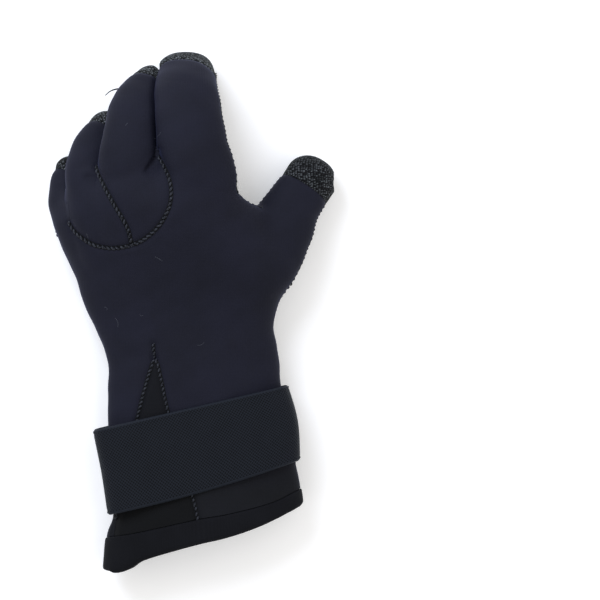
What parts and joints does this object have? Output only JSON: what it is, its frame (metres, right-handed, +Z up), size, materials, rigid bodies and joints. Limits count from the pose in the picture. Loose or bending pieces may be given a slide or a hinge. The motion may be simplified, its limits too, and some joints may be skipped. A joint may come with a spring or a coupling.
{
  "type": "diving glove",
  "caption": "Left-hand diving glove of thick neoprene with curled fingers, gripping palm and fingertips, flared gauntlet with a dart, hemmed cuff and an elastic wrist strap, lying palm down.",
  "frame": {"origin": "middle of the glove's footprint, on the surface that it lies on", "axes": "+X towards the thumb's side, +Y towards the fingertips, +Z up from the surface, out of the back of the hand"},
  "size_m": [0.1752, 0.3178, 0.0656],
  "materials": {
    "navy_neoprene": "matt nylon face on foam neoprene",
    "grip_cloth": "coarse black and grey gripping knit",
    "black_neoprene": "matt nylon face on foam neoprene",
    "hem_cloth": "matt folded knit",
    "elastic_webbing": "matt woven elastic with a diamond weave",
    "hook_tape": "matt hook-and-loop tape"
  },
  "bodies": {
    "root": {"back_panel": "navy_neoprene", "middle_finger_panel": "navy_neoprene", "ring_finger_panel": "navy_neoprene", "palm_panel": "grip_cloth", "wrist_gusset": "black_neoprene", "cuff_hem": "hem_cloth", "wrist_strap": "elastic_webbing", "strap_closure": "hook_tape"}
  },
  "joints": []
}
